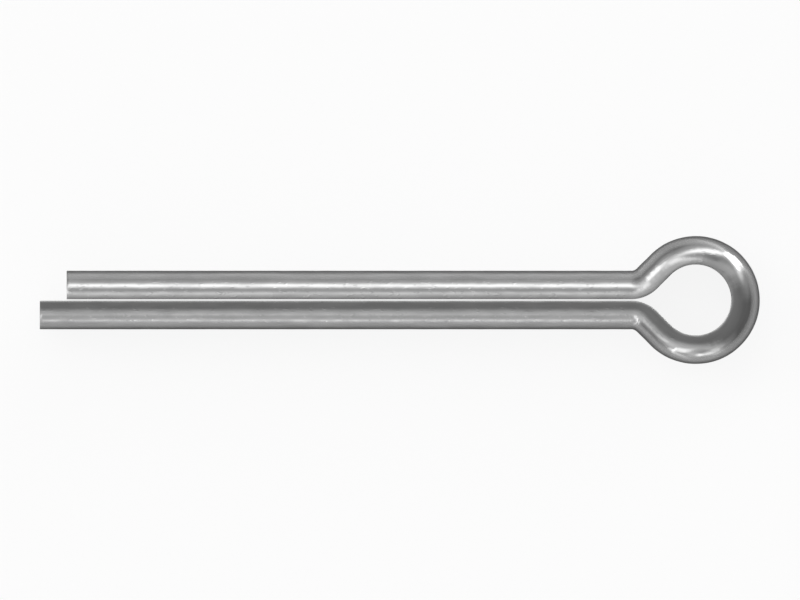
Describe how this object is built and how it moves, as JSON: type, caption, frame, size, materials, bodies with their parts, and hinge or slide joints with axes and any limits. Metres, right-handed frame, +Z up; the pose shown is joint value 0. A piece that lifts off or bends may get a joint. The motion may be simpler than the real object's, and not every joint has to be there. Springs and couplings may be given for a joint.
{
  "type": "cotter pin",
  "caption": "Split pin of half-round steel wire, bent into a round eye with sloped necks and straight legs of slightly unequal length, cut square at their ends.",
  "frame": {"origin": "on the surface the pin lies on, under the middle of its box", "axes": "+X along the legs towards the eye, +Y across the gap towards the shorter leg, +Z up along the axis of the eye"},
  "size_m": [0.048, 0.0086, 0.0039],
  "materials": {
    "steel_wire": "polished"
  },
  "bodies": {
    "root": {"cotter_pin": "steel_wire"}
  },
  "joints": []
}
